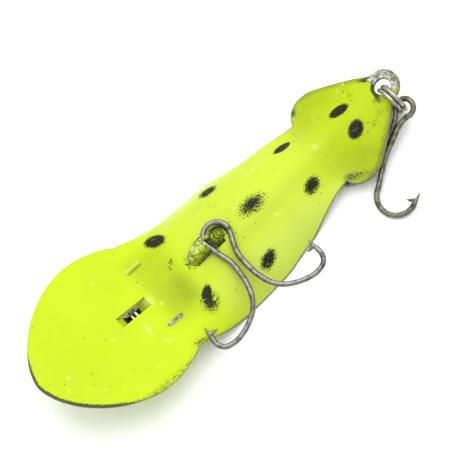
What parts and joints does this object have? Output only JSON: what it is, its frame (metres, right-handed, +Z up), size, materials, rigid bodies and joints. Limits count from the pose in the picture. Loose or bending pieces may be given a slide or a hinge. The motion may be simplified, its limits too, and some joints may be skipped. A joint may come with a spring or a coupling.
{
  "type": "stamped metal trolling fishing lure",
  "caption": "Stamped sheet-metal trolling lure with a round diving lip, a flared tail, a belly double hook on a bridge, and a tail double hook on a split ring.",
  "frame": {"origin": "on the table under the centre of the bounding box, with the lure lying belly up", "axes": "+X from the lip to the tail, +Y to the side away from the hook bends, +Z up out of the belly"},
  "size_m": [0.0882, 0.0364, 0.0126],
  "materials": {
    "yellow_paint": "chartreuse enamel with black spots, semi-gloss, chipped at edges and on the bridge",
    "hook_wire": "dulled plated steel wire with dark tarnish",
    "ring_wire": "bright plated spring wire, slightly tarnished"
  },
  "bodies": {
    "body": {"lure_body": "yellow_paint"},
    "belly_hook": {"belly_double_hook": "hook_wire"},
    "tail_ring": {"tail_split_ring": "ring_wire"},
    "tail_hook": {"tail_double_hook": "hook_wire"},
    "line_ring": {"line_tie_split_ring": "ring_wire"}
  },
  "joints": [
    {"name": "belly_hook_lift", "type": "hinge", "parent": "body", "child": "belly_hook", "pos_m": [-0.00389, 0.0022, 0.0076], "axis": [-1, 0, 0], "range_deg": [0, 18]},
    {"name": "tail_ring_swing", "type": "hinge", "parent": "body", "child": "tail_ring", "pos_m": [0.04071, -0.0002, 0.00575], "axis": [1, 0, 0], "range_deg": [0, 20]},
    {"name": "tail_hook_swing", "type": "hinge", "parent": "tail_ring", "child": "tail_hook", "pos_m": [0.04071, -0.00325, 0.0042], "axis": [0, 0, 1], "range_deg": [-10, 60]},
    {"name": "line_ring_swing", "type": "hinge", "parent": "body", "child": "line_ring", "pos_m": [-0.02219, 0.0022, 0.0057], "axis": [1, 0, 0], "range_deg": [-20, 20]}
  ]
}
